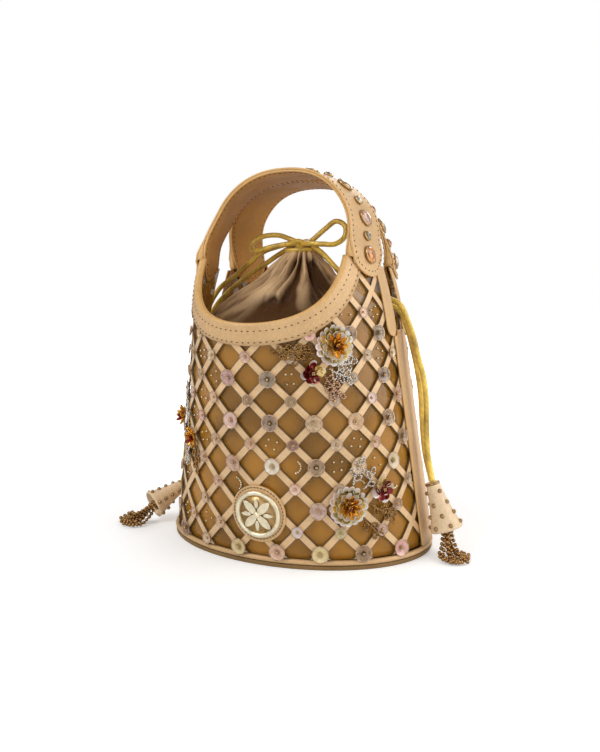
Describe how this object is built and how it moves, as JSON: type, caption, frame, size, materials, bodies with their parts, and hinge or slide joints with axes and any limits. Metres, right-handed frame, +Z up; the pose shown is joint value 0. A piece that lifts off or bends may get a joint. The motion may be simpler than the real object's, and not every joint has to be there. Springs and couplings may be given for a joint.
{
  "type": "potli bag",
  "caption": "Oval lattice bucket bag with a clear film wall, two ring handles, a drawstring satin pouch inside, and gold cords that end in beaded leather cones.",
  "frame": {"origin": "middle of the flat underside of the base", "axes": "+Z up towards the handles, -Y towards the front panel with the medallion, +X towards the right side seam"},
  "size_m": [0.2671, 0.1892, 0.2691],
  "materials": {
    "leather": "gold beige coated leather",
    "lattice": "peach beige coated leather",
    "lining": "matte taupe leather",
    "film": "clear gold tinted film",
    "satin": "taupe satin",
    "cord": "gold satin cord",
    "bead": "bronze glass beads",
    "badge": "polished pale gold metal",
    "stone": "faceted cabochon in a bezel",
    "sequin": "iridescent clear sequins",
    "sequin_dark": "maroon sequins"
  },
  "bodies": {
    "root": {"base_board": "leather", "base_piping": "leather", "front_film": "film", "back_film": "film", "front_lattice": "lattice", "back_lattice": "lattice", "front_rim_band": "leather", "back_rim_band": "leather", "side_band_right": "leather", "side_band_left": "leather", "front_tongue_right": "leather", "front_tongue_left": "leather", "back_tongue_left": "leather", "back_tongue_right": "leather", "front_handle_strap": "leather", "back_handle_strap": "leather", "front_handle_lining": "lining", "back_handle_lining": "lining", "front_stone_1": "stone", "front_stone_2": "stone", "front_stone_3": "stone", "front_stone_4": "stone", "front_stone_5": "stone", "front_stone_6": "stone", "front_stone_7": "stone", "front_stone_8": "stone", "back_stone_1": "stone", "back_stone_2": "stone", "back_stone_3": "stone", "back_stone_4": "stone", "back_stone_5": "stone", "back_stone_6": "stone", "back_stone_7": "stone", "back_stone_8": "stone", "pouch": "satin", "cord_right_a": "cord", "cord_right_b": "cord", "cord_left_a": "cord", "cord_left_b": "cord", "bow_left": "cord", "bow_right": "cord", "cord_knot": "cord", "cone_right": "leather", "cone_left": "leather", "beads_right_a": "bead", "beads_right_b": "bead", "beads_right_c": "bead", "beads_left_a": "bead", "beads_left_b": "bead", "beads_left_c": "bead", "medallion_patch": "leather", "medallion_badge": "badge", "flower_upper_big": "sequin", "flower_lower_big": "sequin", "flower_left_upper": "sequin", "flower_left_lower": "sequin", "flower_upper_small": "sequin_dark", "flower_lower_small": "sequin_dark"}
  },
  "joints": []
}
